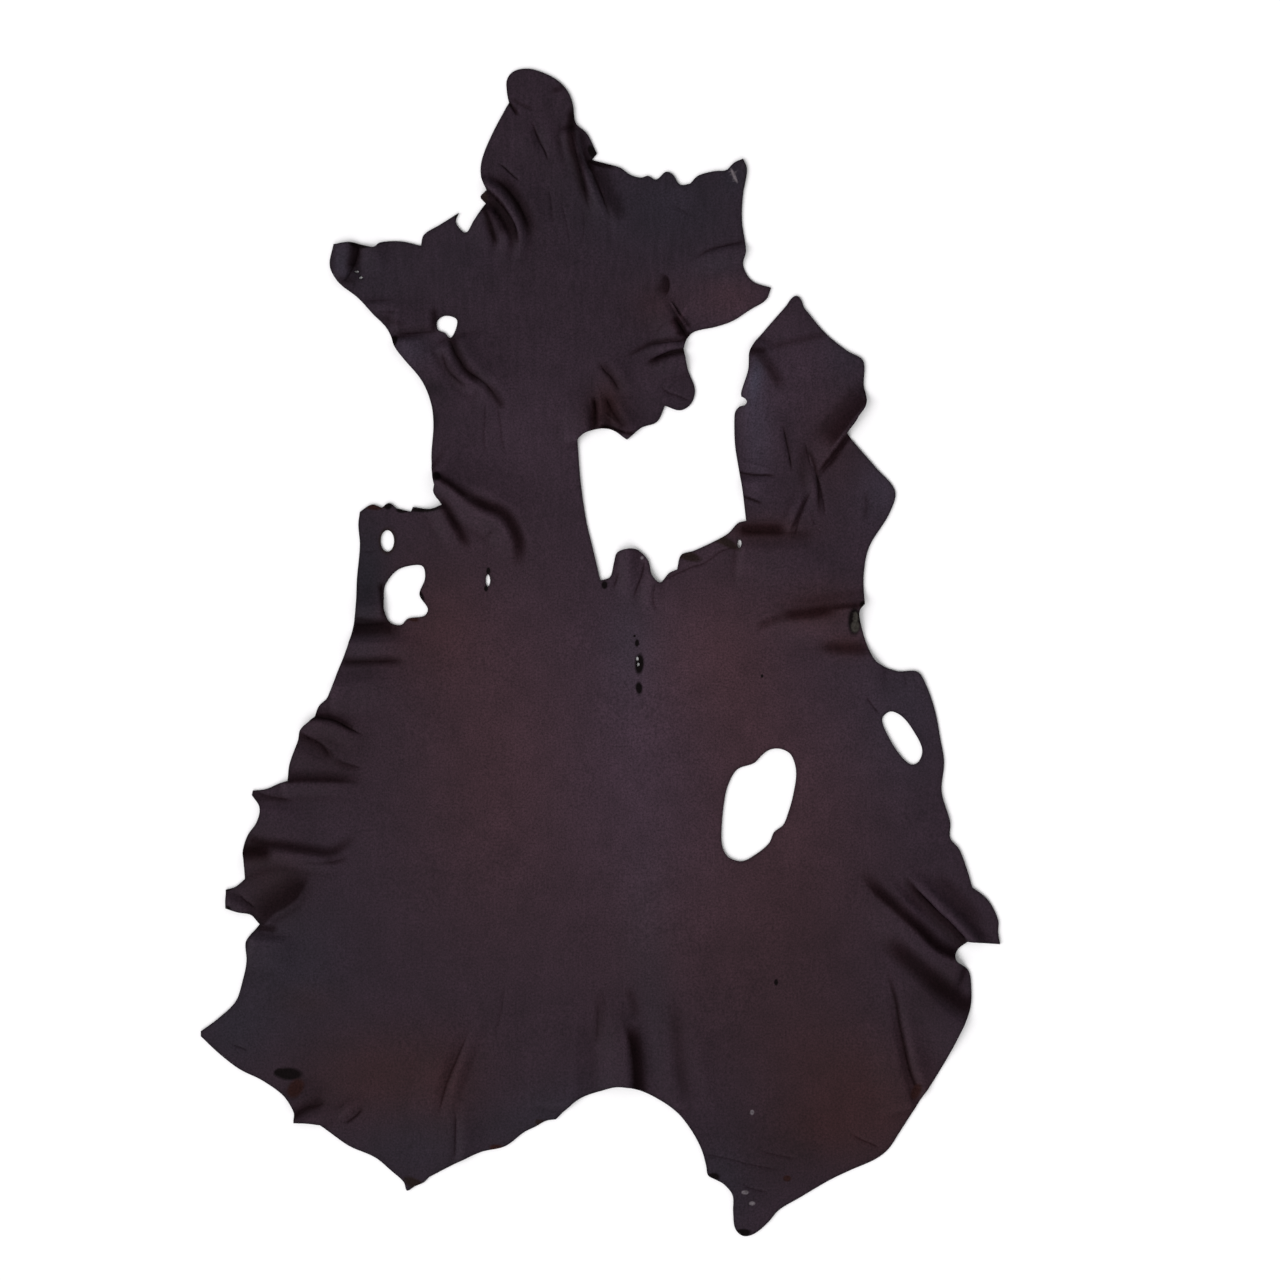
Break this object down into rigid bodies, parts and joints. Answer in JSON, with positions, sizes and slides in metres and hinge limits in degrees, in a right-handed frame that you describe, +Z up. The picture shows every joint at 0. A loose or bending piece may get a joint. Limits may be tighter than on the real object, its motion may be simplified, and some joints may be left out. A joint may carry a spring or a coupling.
{
  "type": "leather hide",
  "caption": "Whole tanned and dyed animal hide laid out flat, with an uneven rim, natural holes and low folds running in from its edges.",
  "frame": {"origin": "under the middle of the hide, on the surface that it rests on", "axes": "+Y towards the head along the hide's length, +Z up out of the grain side, +X to the right seen from above"},
  "size_m": [1, 1.4602, 0.0163],
  "materials": {
    "hide": "dyed near black, between brown and violet, fine grain with a soft gloss"
  },
  "bodies": {
    "root": {"hide": "hide"}
  },
  "joints": []
}
